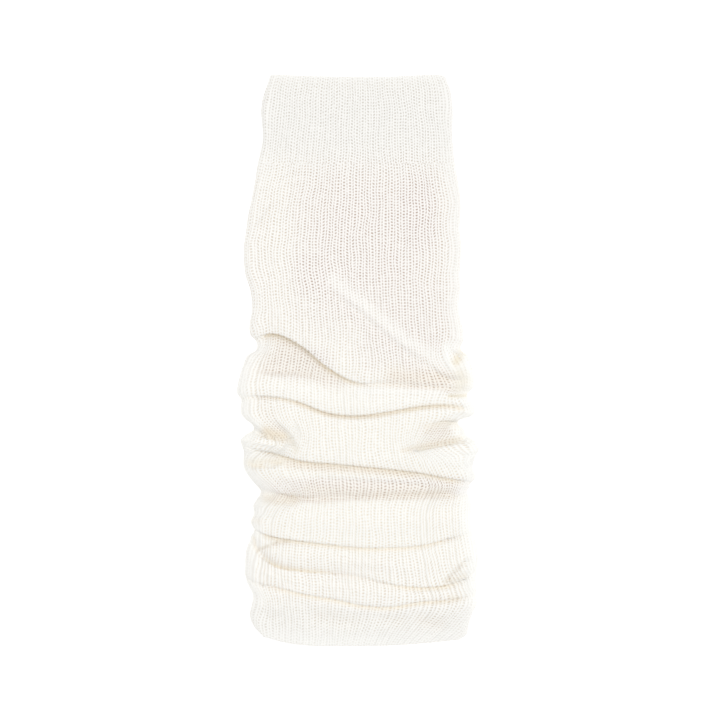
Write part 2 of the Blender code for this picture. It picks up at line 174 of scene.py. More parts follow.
# Each crease crosses the front. At the nine places it gives
#   line    where it runs, as y
#   lap     which cloth lies over it: 1 the cloth above, 0 neither, -1 the cloth below
#   deep    how far it sinks below the rolls beside it, 0 where it dies out
#   sink    how far the roll below it lies under the outline's height, 0 if it isn't given
# and once for the whole crease
#   tuck    how far the cloth runs back under a lap
#   spread  half the width of the open crease
#   sag     how far the back's pleat runs below a straight line from side to side
#   pleat   1 where it goes on as a pressed pleat round the back, as most do, or 0
#   fill    how many plain rings lie between it and the next crease, 1 for most
Crease = namedtuple("Crease", "name line lap deep tuck spread sag sink pleat fill",
                    defaults=((0,) * len(PLACES), 1, 1))
CREASES = (
    Crease("upper_lap",
           line=(14, 18.5, 9.5, -6, -16.5, -17.5, -19, -20.5, -23),
           lap=(0, 1, 1, 1, 0.6, -0.2, -0.3, -0.35, 0),
           deep=(2.4, 1.6, 1.1, 1.7, 2.6, 2.3, 2.1, 2.1, 2.4),
           sink=(0, 5.2, 6.4, 5, 1.4, 0, 0, 0, 0),
           tuck=6, spread=3, sag=4, fill=0),
    Crease("first_roll_top",
           line=(-3, -9.5, -10, -14, -24, -27, -27, -26, -30),
           lap=(0, -0.2, -0.2, -0.2, 0, 0, 0, 0, 0),
           deep=(0.6, 0.8, 0.6, 0.3, 0, 0, 0, 0, 0),
           tuck=3, spread=2, pleat=0, sag=2),
    Crease("first_roll_bottom",
           line=(-28, -26.5, -30.5, -38.5, -40.5, -38, -34.5, -33, -37),
           lap=(0, 0.5, 0.8, 1, 1, 1, 0.8, 0.6, 0),
           deep=(1.6, 2.8, 3.1, 3.4, 3.4, 3.2, 2.9, 2.7, 0),
           sink=(0.5, 0.5, 0, 0, 0, 0, 0, 0, 0),
           tuck=6.5, spread=3, sag=-3),
    Crease("right_lobe_bottom",
           line=(-38, -40.5, -45, -49, -51.5, -53, -51, -45.5, -43.5),
           lap=(0, 0, 0, 0, 0, 0, 0.4, 1, 0),
           deep=(0, 0, 0, 0, 0, 0, 0.3, 0.6, 1.2),
           sink=(0.5, 1.5, 0, 0, 0, 0, 1.6, 3, 3),
           tuck=4, spread=2.5, pleat=0, sag=0, fill=0),
    Crease("second_roll_pinch",
           line=(-50.5, -57, -59, -61, -63, -66, -65, -61, -57),
           lap=(0, -0.8, -0.2, 0, 0, -0.3, -0.8, -1, 0),
           deep=(1.6, 2, 0, 0, 0, 0, 1.2, 1.5, 1.6),
           tuck=5, spread=3, sag=5),
    Crease("second_roll_bottom",
           line=(-62, -67, -73, -75, -77, -79, -81.5, -85.5, -89),
           lap=(0, 0.6, 1, 1, 1, 1, 1, 0.9, 0),
           deep=(0.8, 2.4, 1.8, 1.6, 1.4, 1.4, 1.4, 1.8, 1.9),
           sink=(0.5, 1, 2.2, 2.4, 2.4, 2.4, 2.4, 2, 1),
           tuck=6, spread=3, sag=-4),
    Crease("valley",
           line=(-94.5, -96.5, -99.5, -99.5, -99.5, -99, -98.5, -98, -99),
           lap=(0, 0.5, 0.3, -0.1, -0.2, -0.2, -0.2, -0.2, 0),
           deep=(1.2, 2.6, 2.9, 3.2, 3.4, 3.4, 3.2, 2.4, 0.6),
           tuck=4, spread=5, sag=3),
    Crease("third_roll_bottom",
           line=(-122, -128, -131, -133.5, -135.5, -135.5, -134, -129, -124.5),
           lap=(0, 1, 1, 1, 1, 1, 1, 0.8, 0),
           deep=(1.4, 2.1, 2.2, 2.3, 2.5, 2.6, 2.7, 2.5, 1),
           sink=(0.6, 1.6, 1.2, 0.8, 0.4, 0.2, 0, 0, 0),
           tuck=6.5, spread=2.6, sag=-2),
    Crease("fourth_roll_bottom",
           line=(-130, -147.5, -152, -153.5, -157, -162, -164, -161.5, -151),
           lap=(0, -0.8, -0.9, -0.6, 0.3, 0.9, 1, 0.9, 0),
           deep=(1, 2, 2.1, 2.1, 2.2, 2.3, 2.1, 1.9, 1.2),
           sink=(0, 0, 0, 0, 0, 0.4, 1, 1, 0.5),
           tuck=5, spread=2.6, sag=6),
    Crease("fifth_roll_bottom",
           line=(-157, -163.5, -169, -172.5, -177, -178, -174.5, -173, -168),
           lap=(0, 0.9, 1, 1, 1, 1, 1, 0.9, 0.3),
           deep=(1.5, 2.5, 2.7, 2.8, 2.8, 2.8, 2.8, 2.6, 1.3),
           tuck=6, spread=2.6, sag=-3, fill=0),
)

# A crease is eight rings of knit, from the roll above it to the roll below. Each ring has
# its y from the crease's line, how far it has sunk and how far it is shut in, 0 to 1, once
# where the crease is lapped over and once where it is open; the shut share gives its cloth
# painted shade. Lapped under, it is lapped over mirrored.
#   over:  y is in mm plus a share of the tuck, and the ring is at one of the levels
#          that ring_levels works out
#   open:  y is a share of the spread, and the sink a share of the depth
Ring = namedtuple("Ring", "over_y over_tuck over_level over_shut open_y open_sink open_shut")
RINGS = (
    Ring(7, 0, "roll", 0, 1.4, 0.03, 0),
    Ring(3.2, 0, "shoulder", 0, 0.95, 0.18, 0),
    Ring(0.7, 0, "edge", 0.1, 0.52, 0.6, 0.05),
    Ring(0.5, 0, "lip", 0.8, 0.17, 0.97, 0.2),
    Ring(-0.5, 1, "lip", 1, -0.17, 0.97, 0.2),
    Ring(-0.5, 1, "hidden", 1, -0.52, 0.6, 0.05),
    Ring(-0.5, 0, "hidden", 1, -0.95, 0.18, 0),
    Ring(-3, 0, "risen", 0.05, -1.4, 0.03, 0),
)

# Where the leg has no crease, rings across it at these places.
LEG_TOP_RINGS = (TOP_SEAM, 137.0, 126.0, 108.0, 90.0, 72.0, 54.0, 38.0)
TOP_FILL = 2  # plain rings between those and the first crease
WELT_SHARES = (0.0, 0.1, 0.3, 0.5, 0.7, 0.85)  # up the top welt, from its seam to its edge
TURN_RINGS = 9  # rings round a welt's turned edge
HEM_SHARES = (0.2, 0.4, 0.6, 0.8)  # down the bottom welt, from the lowest fold to its edge
SEAM_SHARE = 0.35  # where the leg ends, along the lowest hidden layer from its inner end
# The top welt's edge waves a little, and the bottom one's corners are round.
TOP_EDGE = (206.4, 205.9, 205.2, 204.8, 204.6, 204.6, 205.2, 206.2, 205.6)
BOTTOM_EDGE = (-195.0, -203.6, -206.2, -206.5, -206.4, -206.2, -205.2, -203.4, -200.0)

# Points round the smooth sheet, before the wales are laid on it.
FRONT_COLUMNS = 181
SIDE_COLUMNS = 31
BACK_COLUMNS = 91


def hermite(start, end, leaving, arriving, width, share):
    """A point on the curve from start to end that leaves and arrives with these slopes."""
    rest = 1.0 - share
    return (start * rest * rest * (1.0 + 2.0 * share)
            + end * share * share * (3.0 - 2.0 * share)
            + leaving * width * share * rest * rest
            - arriving * width * share * share * rest)


def smooth_curve(places, knots, values):
    """A smooth curve through values at the rising knots, read at places."""
    knots = np.asarray(knots, float)
    values = np.asarray(values, float)
    slopes = np.gradient(values, knots)
    places = np.clip(places, knots[0], knots[-1])
    span = np.clip(np.searchsorted(knots, places, side="right") - 1, 0, len(knots) - 2)
    width = knots[span + 1] - knots[span]
    share = (places - knots[span]) / width
    return hermite(values[span], values[span + 1], slopes[span], slopes[span + 1],
                   width, share)


def smooth_step(value, low, high):
    """0 up to low, 1 from high on and a soft step between. low may be the greater."""
    share = np.clip((value - low) / (high - low), 0.0, 1.0)
    return share * share * (3.0 - 2.0 * share)


def across(values, place):
    """A table's nine values, read at any place across the front."""
    return smooth_curve(place, PLACES, values)


def in_front(values, section, behind=0.0):
    """A table's nine values at the section's points, none under 0, and others behind."""
    place, share = section[:, 0], section[:, 1]
    return np.where(share >= 0.0, np.maximum(across(values, place), 0.0), behind)


def outline_at(y, column):
    """One column of the outline at each y."""
    rows = OUTLINE[::-1]
    return smooth_curve(y, [row.y for row in rows], [getattr(row, column) for row in rows])


def ring_section():
    """One ring's points: place across (-1 to 1), share of the height (-1 to 1).

    They start at the middle of the left side and go across the front.
    """
    turn = [math.pi * (0.5 - (i + 1) / (SIDE_COLUMNS + 1)) for i in range(SIDE_COLUMNS)]
    side = [(FLAT_SHARE + (1.0 - FLAT_SHARE) * math.cos(a), math.sin(a)) for a in turn]
    points = [(FLAT_SHARE * x, 1.0) for x in np.linspace(-1.0, 1.0, FRONT_COLUMNS)]
    points += side
    points += [(FLAT_SHARE * x, -1.0) for x in np.linspace(1.0, -1.0, BACK_COLUMNS)]
    points += [(-x, -share) for x, share in side]
    return np.roll(np.array(points), SIDE_COLUMNS // 2 + 1, axis=0)


def ring_levels(ring, above, below, deep, lip):
    """A ring's sink where the crease is lapped over, and where it is open."""
    bottom = np.maximum(above, below) + deep
    steps = {
        "roll": above,
        "shoulder": above + SHOULDER,
        "edge": above + EDGE,
        "lip": above + lip,
        "hidden": bottom,
        "risen": below + RISEN * (bottom - below),
    }
    over = np.minimum(steps[ring.over_level], bottom)
    beside = above if ring.open_y > 0.0 else below
    opened = beside + ring.open_sink * (bottom - beside)
    return over, opened


def crease_ring(index, crease, above, below, lap, deep, lip):
    """y from the crease's line, sink and shut of one of its rings, at each column."""
    ring, mirrored = RINGS[index], RINGS[-1 - index]
    bottom = np.maximum(above, below) + deep
    room = bottom - np.where(lap > 0.0, above, below)
    lap = lap * np.clip(room / (lip + PANEL_AIR), 0.0, 1.0) ** 2
    tuck = crease.tuck * np.clip((np.abs(lap) - FIRST_LAP) / (1.0 - FIRST_LAP), 0.0, 1.0)
    over_share = np.clip(lap / FIRST_LAP, 0.0, 1.0)
    under_share = np.clip(-lap / FIRST_LAP, 0.0, 1.0)
    open_share = 1.0 - over_share - under_share
    over_sink, open_sink = ring_levels(ring, above, below, deep, lip)
    under_sink = ring_levels(mirrored, below, above, deep, lip)[0]
    over_y = ring.over_y + ring.over_tuck * tuck
    under_y = -mirrored.over_y - mirrored.over_tuck * tuck
    y = over_y * over_share + under_y * under_share + ring.open_y * crease.spread * open_share
    sink = over_sink * over_share + under_sink * under_share + open_sink * open_share
    lapped_shut = ring.over_shut * over_share + mirrored.over_shut * under_share
    shut = smooth_step(np.abs(lap), *LAP_SHUT) * lapped_shut + ring.open_shut * open_share
    return y, sink, shut * smooth_step(deep, *DEPTH_SHUT)


def crease_rings(crease, before, section):
    """The crease's rings as y, sink and shut at each of the section's points."""
    place, share = section[:, 0], section[:, 1]
    on_front = share >= 0.0
    side_index = np.where(place < 0.0, 0, -1)
    near_side = smooth_step(np.abs(place), BACK_FLAT, 1.0)
    side_lap, side_deep = np.array(crease.lap)[side_index], np.array(crease.deep)[side_index]

    straight = crease.line[0] + (crease.line[-1] - crease.line[0]) * (place + 1.0) / 2.0
    line = np.where(on_front, across(crease.line, place),
                    straight - crease.sag * (1.0 - place ** 2))
    lap = np.where(on_front, across(crease.lap, place),
                   near_side * side_lap + (1.0 - near_side) * crease.pleat)
    held = np.minimum(side_deep / BACK_TUCK, 1.0)
    pressed = BACK_TUCK * (near_side * held + (1.0 - near_side) * crease.pleat)
    deep = in_front(crease.deep, section, pressed)
    above, below = in_front(before, section), in_front(crease.sink, section)
    lip = np.where(on_front, LIP, BACK_LIP)
    rings = [crease_ring(index, crease, above, below, lap, deep, lip)
             for index in range(len(RINGS))]
    return [[line + y, sink, shut] for y, sink, shut in rings], deep


def settled(rings, hold):
    """The rings, spread evenly where no crease holds them to their places."""
    set_rings = rings.copy()
    for _ in range(SETTLING):
        middle = (set_rings[:-2] + set_rings[2:]) / 2.0
        set_rings[1:-1] = hold[1:-1] * rings[1:-1] + (1.0 - hold[1:-1]) * middle
    return set_rings


def fill_rings(upper, lower, count, level, roundness):
    """Plain rings between two rings, crowned where the roll between them is wide."""
    rings = []
    gap = upper[0] - lower[0]
    crown = roundness * np.minimum(ROUNDING, CROWNING * gap)
    for i in range(count):
        share = (i + 1) / (count + 1)
        swell = 4.0 * share * (1.0 - share) * crown
        plain = upper[1] + share * (lower[1] - upper[1])
        sink = plain + roundness * (level - plain) - swell
        rings.append([upper[0] - share * gap, sink, np.zeros(len(gap))])
    return rings


def step_apart(upper, lower):
    """Where two creases crowd each other, their nearest rings share the room evenly."""
    count = min(2, len(upper), len(lower))
    for i in range(count):
        above, below = upper[-1 - i], lower[i]
        middle = (above[0] + below[0]) / 2.0
        above[0] = np.maximum(above[0], middle + LEAST_STEP * (i + 0.5))
        below[0] = np.minimum(below[0], middle - LEAST_STEP * (i + 0.5))


def leg_rings(section):
    """Every ring of the leg, top to bottom: y, sink and shut at each point of the section."""
    on_front = section[:, 1] >= 0.0
    flat = np.zeros(len(section))
    top = [[flat + y, flat, flat] for y in LEG_TOP_RINGS]
    before, groups, depths, levels = np.zeros(len(PLACES)), [], [], []
    for crease in CREASES:
        group, deep = crease_rings(crease, before, section)
        step_apart(groups[-1] if groups else top, group)
        levels.append(in_front(before, section))
        groups.append(group)
        depths.append(deep)
        before = np.array(crease.sink, float)
    hold = smooth_step(np.repeat(depths, len(RINGS), axis=0), *DEPTH_HELD)
    hold[-len(RINGS):] = 1.0  # the lowest crease stays where it is
    held = np.vstack([np.ones(len(section)), hold])[:, None, :]
    loose = np.array([top[-1]] + [ring for group in groups for ring in group])
    loose = settled(loose, held)[1:].reshape(len(CREASES), len(RINGS), 3, -1)

    rings, fill, depth = top, TOP_FILL, flat
    for crease, group, level, deep in zip(CREASES, loose, levels, depths):
        last, depth = depth, np.where(on_front, deep, 0.0)
        roundness = smooth_step(np.minimum(last, depth), *DEPTH_ROUND)
        rings = rings + fill_rings(rings[-1], group[0], fill, level, roundness)
        rings += [list(ring) for ring in group]
        fill = crease.fill
    return rings


# The left and right sides, as the front sees them and then as the back does.
SIDES = np.array([(-1.0, 0.0), (1.0, 0.0), (-1.0, -1e-9), (1.0, -1e-9)])


def between(first, second, share):
    """A ring part of the way from one to the next."""
    return [a + share * (b - a) for a, b in zip(first, second)]


def welt_turn(edge, sink, side):
    """Rings of a welt's turned edge, outside first. side is +1 at the top, -1 below."""
    radius = WELT / 2.0
    angles = [math.pi * i / (TURN_RINGS - 1) for i in range(TURN_RINGS)]
    return [(edge - side * radius * (1.0 - math.sin(a)), sink, 0.0 * sink,
             radius * (1.0 - math.cos(a))) for a in angles]


def top_welt(section):
    """The top welt's rings: up the inner layer from the seam, over, and down the outer one."""
    flat = np.zeros(len(section))
    edge = across(TOP_EDGE, section[:, 0])
    layers = [TOP_SEAM + share * (edge - TOP_SEAM) for share in WELT_SHARES]
    outside = [(y, flat, flat, 0.0) for y in layers]
    inside = [(y, flat, flat, WELT) for y in layers]
    return inside + welt_turn(edge, flat, 1.0)[::-1] + outside[::-1]


def leg(section):
    """The leg's rings, from the top welt's seam to the layer hidden under the lowest fold."""
    rings = leg_rings(section)
    seam = between(rings[-3], rings[-2], SEAM_SHARE)
    return [(*ring, 0.0) for ring in rings[:-2] + [seam]]


def bottom_welt(section):
    """The bottom welt's rings: down the outer layer from the seam, over, and up the inner one."""
    rings = leg_rings(section)
    start = between(rings[-3], rings[-2], SEAM_SHARE)
    edge = across(BOTTOM_EDGE, section[:, 0])
    turn = welt_turn(edge, np.zeros(len(section)), -1.0)
    hem = [between(rings[-1], turn[0][:3], share) for share in HEM_SHARES]
    on_front = section[:, 1] >= 0.0
    hem = [[y, np.where(on_front, sink, 0.0), shut] for y, sink, shut in hem]
    outer = [start] + rings[-2:] + hem
    outside = [(*ring, 0.0) for ring in outer]
    inside = [(*ring, WELT) for ring in outer]
    return outside + turn + inside[::-1]


def placed(section, rings_of, thickness):
    """A piece's rings in space: the outline at their y, drawn in by sink and inset.

    Each point is x, y, z and how far it is shut in. The sides turn in half circles, however
    high the cloth stands there, so each ring also gives how far its left and right sides
    are drawn in from the outline, and the radius of each one's turn.
    """
    place, share = section[:, 0], section[:, 1]
    points, sides = [], []
    rings, side_rings = rings_of(section), rings_of(SIDES)
    for (y, sink, shut, inset), (side_y, side_sink, _, _) in zip(rings, side_rings):
        top = outline_at(y, "height") - outline_at(y, "crown") * place ** 2
        pressed = np.where(share < 0.0, sink, 0.0)
        least = pressed.max() + 2.0 * thickness + PANEL_AIR
        front = np.maximum(top - sink, least) - inset
        side_top = outline_at(side_y[:2], "height") - outline_at(side_y[:2], "crown")
        side_front = np.maximum(side_top - side_sink[:2], least) - inset
        side_middle = (side_front + side_sink[2:] + inset) / 2.0
        side_radius = (side_front - side_sink[2:] - inset) / 2.0
        middle = np.where(place < 0.0, side_middle[0], side_middle[1])
        z = np.where(share >= 0.0,
                     middle + (front - middle) * share,
                     middle + (pressed + inset - middle) * -share)
        points.append(np.column_stack([place, y, z, shut]))
        sides.append([*(SIDE_SHARE * side_sink[:2] + inset), *side_radius])
    return spread(section, np.array(points), np.array(sides)), np.array(sides)


# Every millimetre along the leg, to well past its ends.
ALONG = np.arange(-240.0, 241.0)


def bell(reach):
    """Whole steps to both sides, and a bell curve's weight for each."""
    steps = np.arange(-3 * reach, 3 * reach + 1)
    return steps, np.exp(-0.5 * (steps / reach) ** 2)


def calm_outline(y, column, inward):
    """A side of the outline at each y, without its notches, and inset by half its height."""
    side = outline_at(ALONG, column) + inward * outline_at(ALONG, "height") / 2.0
    steps, weights = bell(CALM)
    side = np.convolve(np.pad(side, steps[-1], mode="edge"), weights / weights.sum(),
                       mode="valid")
    return np.interp(y, ALONG, side)


def spread(section, rows, sides):
    """The rows set out across the leg: to its true outline at the sides, and calm between."""
    place = section[:, 0]
    on_left = place < 0.0
    turned = (np.clip(np.abs(place), FLAT_SHARE, 1.0) - FLAT_SHARE) / (1.0 - FLAT_SHARE)
    flat = np.clip(place / FLAT_SHARE, -1.0, 1.0)
    y = rows[..., 1]
    left = outline_at(y[:, 0], "left") + sides[:, 0] + sides[:, 2]
    right = outline_at(y[:, FRONT_COLUMNS + SIDE_COLUMNS], "right") - sides[:, 1] - sides[:, 3]
    calm_left, calm_right = calm_outline(y, "left", 1.0), calm_outline(y, "right", -1.0)
    x = (calm_left + calm_right) / 2.0 + flat * (calm_right - calm_left) / 2.0
    notch = np.where(on_left, left[:, None] - calm_left, right[:, None] - calm_right)
    x = x + np.abs(flat) ** SIDE_HOLD * notch
    x = x + turned * np.where(on_left, -sides[:, 2:3], sides[:, 3:4])
    return np.stack([x, y, rows[..., 2], rows[..., 3]], axis=-1)


def smooth_rows(rings, sides):
    """Rows of points on a smooth surface through the rings, about ROW_STEP apart."""
    chords = np.linalg.norm(np.diff(rings[..., :3], axis=0), axis=2)
    widths = np.maximum(np.sqrt(chords), LEAST_KNOT)[..., None]
    spans = np.diff(rings, axis=0) / widths
    slopes = np.empty_like(rings)
    slopes[0], slopes[-1] = spans[0], spans[-1]
    near, far = widths[:-1], widths[1:]
    slopes[1:-1] = (spans[:-1] * far + spans[1:] * near) / (near + far)
    rows, row_sides = [], []
    for i, width in enumerate(widths):
        count = max(2, round(chords[i].mean() / ROW_STEP))
        for j in range(count):
            share = j / count
            rows.append(hermite(rings[i], rings[i + 1], slopes[i], slopes[i + 1],
                                width, share))
            row_sides.append(sides[i] * (1.0 - share) + sides[i + 1] * share)
    rows.append(rings[-1])
    row_sides.append(sides[-1])
    return np.array(rows), np.array(row_sides)


# ================================================================ the knit
# Where the cloth is drawn across: its middle, how far that reaches across and along, and
# how many millimetres the wales are drawn to the right there.
Pull = namedtuple("Pull", "x y across along right")
PULLS = (
    Pull(-72, -56, 24, 10, 15),
    Pull(-68, -97, 24, 9, 10),
    Pull(66, -58, 25, 11, -12.5),
    Pull(72, -41, 16, 7, 5),
    Pull(48, -90, 34, 11, 7),
    Pull(62, -19, 12, 7, 5),
    Pull(63, 2, 12, 9, -3.5),
    Pull(40, -216, 60, 26, -9),
    Pull(-50, -215, 30, 18, -5),
    Pull(74, -178, 40, 20, 12.5),
)

# Creases and edges too small for the tables above. Walking along each one's line, it
# raises the cloth on the left, and on the right, by so much at the line, and that fades
# out over so far from it. A sunken side is negative. Half the width of the slope between
# the two sides comes last.
Fold = namedtuple("Fold", "line left left_reach right right_reach edge", defaults=(0.8,))
FOLDS = (
    # the shoulder ridge, and the faint crease over its end
    Fold(((-28, 60), (-9, 43), (4, 34), (19, 20), (37, 6), (52, -4), (60, -9)),
         1, 6, -1.3, 6, 2.6),
    Fold(((48, 16), (58, 14), (69, 9)), 0.2, 2, -0.5, 2),
    # the curl at the ridge's right end: its hollow, the rim round it and the cloth under it
    Fold(((80, 10), (76, 6), (72.5, 2), (70, -2)), -1.9, 3.4, -1.9, 3.4, 1.6),
    Fold(((64, 12), (64, 4), (66, -4), (70.5, -7.5), (76.5, -4.5), (80, 4)), 1.7, 3, 1.7, 3),
    Fold(((50, -3), (60, -10), (66, -12.5), (73, -13), (82, -9)), 0.6, 3, -2, 4),
    # the small crease at the first roll's right end
    Fold(((62, -25), (70, -25.8), (82, -25)), 0.6, 2.5, -0.5, 1.8),
    # the left pinch of the second roll: the panel's edge, the pit and the lobe under them
    Fold(((-62, -42), (-53, -49), (-47, -57), (-43, -67)), 1.2, 6, -1.2, 5, 2),
    Fold(((-66, -50), (-57, -51.5), (-50, -55)), -0.8, 4, -0.8, 4),
    Fold(((-82, -52), (-73, -54.8), (-62, -56.6), (-50, -56)), -1.2, 4, 0.9, 4),
    Fold(((-83, -60), (-70, -61), (-57, -61), (-49, -60)), 0.6, 4, 0.8, 5),
    # the small sunken gusset at that lobe's left, and the next lip under it
    Fold(((-90, -71), (-82, -75), (-74, -77), (-64, -76.8), (-50, -74)), -2.6, 4.5, 1.3, 4.5),
    # the right lobes' fans
    Fold(((27, -69), (40, -66), (58, -63), (78, -60)), -0.6, 3, 1.2, 6),
    Fold(((84, -66), (82, -75), (78, -84)), -0.8, 3, -0.8, 3),
    # the ledge under the second roll
    Fold(((-48, -82), (-20, -84.5), (20, -87), (50, -89), (70, -90.5)), 0.9, 3, -1, 4, 2.2),
    # the recess at the valley's left end, and the lobe over it
    Fold(((-80, -103), (-68, -104), (-54, -104.5), (-36, -102)), -1.6, 5, 0.6, 3, 1.2),
    Fold(((-76, -86), (-66, -90), (-54, -94), (-46, -97.5)), 0.8, 6, 0.8, 3),
    # the curl at the third roll's left end
    Fold(((-72, -137), (-64, -133.5), (-57, -130.5), (-48, -129)), 0.9, 3, -1.2, 2),
    Fold(((-76, -125), (-74.8, -130), (-73.5, -135), (-70, -140)), -1.2, 1.5, -0.4, 1.5),
    Fold(((-75, -126), (-70, -129), (-65, -130.5), (-60, -130)), 1.2, 3, 1.2, 3),
    Fold(((-80, -112), (-74, -115), (-70, -117)), -0.8, 2, 0.5, 2.5),
    # the creases at the fourth roll's right end
    Fold(((60, -161), (68, -153.5), (76, -146), (84, -139)), 0.8, 3, -2, 2.4),
    Fold(((58, -162.5), (71, -157.5), (83, -151.5)), -1.6, 2.2, 0.8, 3),
    # the bottom welt's soft valleys
    Fold(((36, -183), (50, -189), (68, -193)), -1.8, 6, -1.8, 6),
    Fold(((-80, -182), (-64, -185), (-46, -184)), -0.9, 4, -0.9, 4),
    Fold(((-44, -182), (-20, -186), (-8, -187.5), (8, -184)), -1.6, 5, -1.6, 5),
    Fold(((6, -186), (20, -187), (30, -187), (42, -183)), -1.4, 4, -1.4, 4),
    Fold(((-60, -195), (-20, -197), (20, -196), (56, -201)), 0.8, 6, 0.8, 6),
    # the soft crease near the plain part's left edge
    Fold(((-60, 118), (-67, 105), (-76, 92)), -1, 4, 1, 4),
)
FOLD_END = 0.3  # share of a fold's line over which it swells up from each end

# The wales wander in soft waves: how many, how far each draws them to the side as a share
# of its length, its length and how far it turns from straight along the leg, in radians.
WAVES = 12
WANDER = 0.0032
WAVE_LENGTHS = (13.0, 42.0)
WAVE_TURNS = (-0.7, 0.7)
WAVE_SEED = 5


def wandering(points):
    """How far the wales wander to the right at each point."""
    waves = np.random.default_rng(WAVE_SEED)
    total = np.zeros(points.shape[:-1])
    for _ in range(WAVES):
        length = waves.uniform(*WAVE_LENGTHS)
        turn = waves.uniform(*WAVE_TURNS)
        start = waves.uniform(0.0, 1.0)
        run = (points[..., 1] * math.cos(turn) + points[..., 0] * math.sin(turn)) / length
        total += WANDER * length * np.sin(2.0 * math.pi * (run + start))
    return total


def wale_pull(points):
    """How far, in wales, each point is drawn to the right."""
    total = wandering(points)
    for pull in PULLS:
        aside = (points[..., 0] - pull.x) / pull.across
        ahead = (points[..., 1] - pull.y) / pull.along
        total += pull.right * np.exp(-(aside ** 2 + ahead ** 2))
    return total / WALE_WIDTH


def fold_height(points):
    """How far the small folds raise each point."""
    total = np.zeros(points.shape[:-1])
    for fold in FOLDS:
        line = np.array(fold.line, float)
        lengths = np.linalg.norm(np.diff(line, axis=0), axis=1)
        whole, before = lengths.sum(), 0.0
        nearest = np.full(total.shape, np.inf)
        height = np.zeros(total.shape)
        for start, end, length in zip(line[:-1], line[1:], lengths):
            along = (end - start) / length
            off = points[..., :2] - start
            reach = off @ along
            share = np.clip(reach, 0.0, length)
            side = off[..., 0] * along[1] - off[..., 1] * along[0]
            distance = np.hypot(reach - share, side)
            run = (before + share) / whole
            swell = smooth_step(run, 0.0, FOLD_END) * smooth_step(1.0 - run, 0.0, FOLD_END)
            on_right = smooth_step(side, -fold.edge, fold.edge)
            left = fold.left * np.exp(-(distance / fold.left_reach) ** 2)
            right = fold.right * np.exp(-(distance / fold.right_reach) ** 2)
            here = swell * ((1.0 - on_right) * left + on_right * right)
            closer = distance < nearest
            height = np.where(closer, here, height)
            nearest = np.where(closer, distance, nearest)
            before += length
        total += height
    return total


def wale_columns():
    """Where the columns of points lie round the tube, in wales from its left side."""
    front_end = WALES / 2 + OVERLAP_WALES
    front = np.arange(-OVERLAP_WALES, front_end, 1.0 / FRONT_POINTS)
    back = np.arange(front_end, WALES - OVERLAP_WALES, 1.0 / BACK_POINTS)
    return np.concatenate([front, back])


def wale_places(row, wales):
    """Where the wales lie along a closed row, as counts of its points, even on each half."""
    lengths = np.linalg.norm(np.diff(np.vstack([row, row[:1]])[:, ::2], axis=0), axis=1)
    run = np.concatenate([[0.0], np.cumsum(lengths)])
    half = run[FRONT_COLUMNS + SIDE_COLUMNS]
    turns = np.floor(wales / WALES)
    share = (wales / WALES - turns) * 2.0
    target = np.where(share < 1.0, share * half, half + (share - 1.0) * (run[-1] - half))
    return np.interp(target, run, np.arange(len(run))) + turns * len(row)


def read_rows(rows, places):
    """The points at the given places along closed rows."""
    count = rows.shape[1]
    low = np.floor(places).astype(int)
    share = (places - low)[..., None]
    index = np.arange(len(rows))[:, None]
    return rows[index, low % count] * (1.0 - share) + rows[index, (low + 1) % count] * share


def drawn_round(places, columns, pull, count):
    """The places, drawn round the tube by each one's pull in wales."""
    all_round = np.concatenate([columns - WALES, columns, columns + WALES])
    rows = [np.concatenate([row - count, row, row + count]) for row in places]
    return np.array([np.interp(columns + by, all_round, row) for row, by in zip(rows, pull)])


def eased(values, reach):
    """The same table, smoothed down its rows."""
    steps, weights = bell(reach)
    index = np.clip(np.arange(len(values))[:, None] + steps, 0, len(values) - 1)
    total = sum(weight * values[index[:, k]] for k, weight in enumerate(weights))
    return total / weights.sum()


def lay_wales(rows, section):
    """The rows' points moved on to the wales, with how far each is shut in.

    It also gives the wale that each column is at, and each point's run along its wale.
    """
    columns = wale_columns()
    raised = np.clip(section[:, 1], 0.0, 1.0)
    behind = smooth_step(np.abs(section[:, 0]), *BACK_DRAWN)
    drawn = np.where(section[:, 1] >= 0.0, 1.0, behind)
    shares = np.broadcast_to(np.column_stack([raised, drawn]), rows.shape[:2] + (2,))
    places = eased(np.array([wale_places(row, columns) for row in rows]), WALE_EASE)
    pull = wale_pull(read_rows(rows, places)) * read_rows(shares, places)[..., 1]
    places = drawn_round(places, columns, pull, rows.shape[1])
    woven = read_rows(rows, places)
    front = read_rows(shares, places)[..., 0]
    height = woven[..., 2]
    woven[..., 2] = np.maximum(height + fold_height(woven) * front,
                               np.minimum(height, LEAST_HEIGHT))
    shut, woven = np.clip(woven[..., 3], 0.0, 1.0), woven[..., :3]
    steps = np.linalg.norm(np.diff(woven, axis=0), axis=2)
    run = np.vstack([np.zeros(len(columns)), np.cumsum(steps, axis=0)])
    return woven, shut, columns, run


def grid_normals(points):
    """Unit normals of a grid of points that closes on itself across its columns."""
    down = np.gradient(points, axis=0)
    round_it = np.roll(points, -1, axis=1) - np.roll(points, 1, axis=1)
    normals = np.cross(down, round_it)
    return normals / np.maximum(np.linalg.norm(normals, axis=2, keepdims=True), 1e-9)


def rib_height(wales):
    """How far the rib stands over its purl columns, 0 to 1: a wale's two legs and their groove."""
    part = np.mod(wales, 1.0)
    from_middle = np.abs(part - 0.5)
    body = smooth_step(0.5 - from_middle, 0.0, RIB_FLANK)
    groove = GROOVE * (1.0 - smooth_step(from_middle, 0.0, GROOVE_HALF))
    return body - groove


